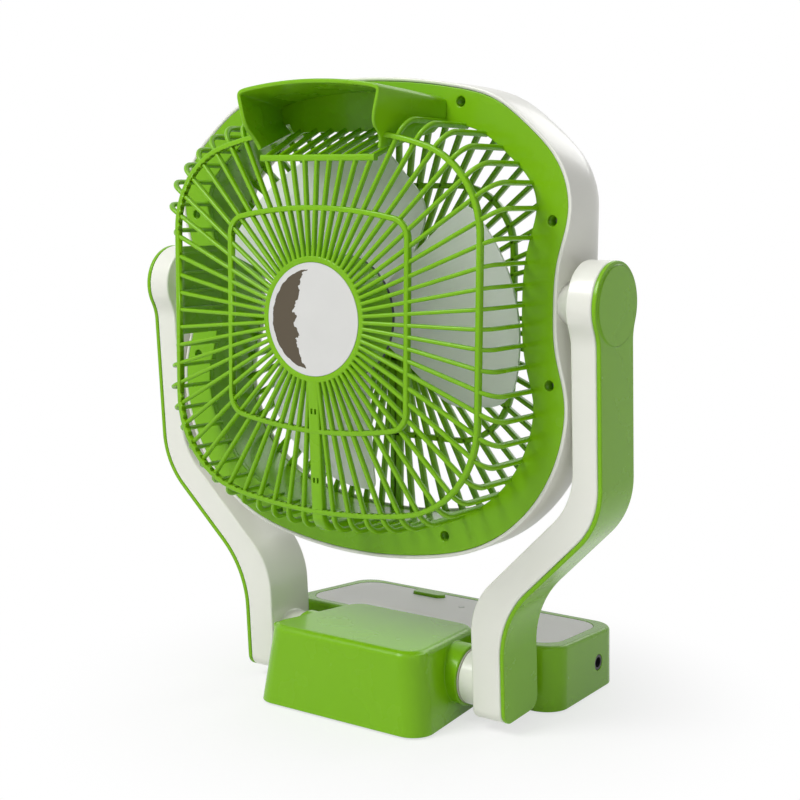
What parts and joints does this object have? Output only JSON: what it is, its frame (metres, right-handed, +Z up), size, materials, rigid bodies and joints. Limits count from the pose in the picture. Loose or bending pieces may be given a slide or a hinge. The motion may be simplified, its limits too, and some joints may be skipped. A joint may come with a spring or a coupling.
{
  "type": "rechargeable desk fan",
  "caption": "Battery desk fan: a waisted square guarded head tilts between two S-shaped arms, which swing on a control base with a lamp, push buttons and a charging socket.",
  "frame": {"origin": "on the desk, below the middle of the fan's overall box", "axes": "+X to the fan's own left, -Y to the front where the air leaves, +Z up"},
  "size_m": [0.2912, 0.176, 0.3384],
  "materials": {
    "green_plastic": "glossy moulded plastic, lime green",
    "white_plastic": "glossy moulded plastic, warm white",
    "clear_blade": "milky translucent plastic",
    "lamp_clear": "milky diffuser plastic",
    "label_foil": "silver-white foil, bare",
    "rubber": "soft black rubber",
    "steel": "zinc-plated steel",
    "board": "glass-fibre board, green lacquer",
    "diode": "phosphor-coated diode",
    "black_plastic": "black moulded plastic",
    "cell_case": "dark sealed battery case",
    "bronze": "sintered bronze",
    "washer_fibre": "slippery plastic washer"
  },
  "bodies": {
    "base": {"base_shell": "green_plastic", "base_plate": "green_plastic", "base_feet": "rubber", "base_screws": "steel", "control_panel": "white_plastic", "indicator_lens": "lamp_clear", "circuit_board": "board", "button_switches": "black_plastic", "lamp_lens": "lamp_clear", "led_board": "board", "lamp_leds": "diode", "dc_jack": "black_plastic", "battery_left": "cell_case", "battery_right": "cell_case"},
    "arms": {"left_arm_shell": "white_plastic", "left_arm_cover": "green_plastic", "left_swing_bolt": "steel", "left_swing_nut": "steel", "left_swing_washers": "washer_fibre", "right_arm_shell": "white_plastic", "right_arm_cover": "green_plastic", "right_swing_bolt": "steel", "right_swing_nut": "steel", "right_swing_washers": "washer_fibre"},
    "head": {"housing": "white_plastic", "front_grille": "green_plastic", "rear_grille": "green_plastic", "carry_handle": "green_plastic", "cover_screws": "steel", "label_disc": "label_foil", "motor_plate": "steel", "motor_body": "steel", "front_bush": "bronze", "rear_bush": "bronze", "plate_screws": "steel", "left_tilt_bolt": "steel", "left_tilt_washer": "washer_fibre", "right_tilt_bolt": "steel", "right_tilt_washer": "washer_fibre"},
    "rotor": {"motor_shaft": "steel", "fan_blades": "clear_blade", "spinner_nut": "black_plastic"},
    "fan_button": {"fan_button": "green_plastic"},
    "light_button": {"light_button": "green_plastic"}
  },
  "joints": [
    {"name": "arms_swing", "type": "hinge", "parent": "base", "child": "arms", "pos_m": [0, 0.017, 0.024], "axis": [1, 0, 0], "range_deg": [-55, 29]},
    {"name": "head_tilt", "type": "hinge", "parent": "arms", "child": "head", "pos_m": [0, 0.03155, 0.227], "axis": [1, 0, 0], "range_deg": [-90, 90]},
    {"name": "fan_spin", "type": "hinge", "parent": "head", "child": "rotor", "pos_m": [0, 0.033, 0.216], "axis": [0, 1, 0], "continuous": true},
    {"name": "fan_button_press", "type": "slide", "parent": "base", "child": "fan_button", "axis": [0, 0.0506, -0.9987], "range_m": [0, 0.0012], "stiffness_N_per_m": 900},
    {"name": "light_button_press", "type": "slide", "parent": "base", "child": "light_button", "axis": [0, 0.0506, -0.9987], "range_m": [0, 0.0012], "stiffness_N_per_m": 900}
  ]
}
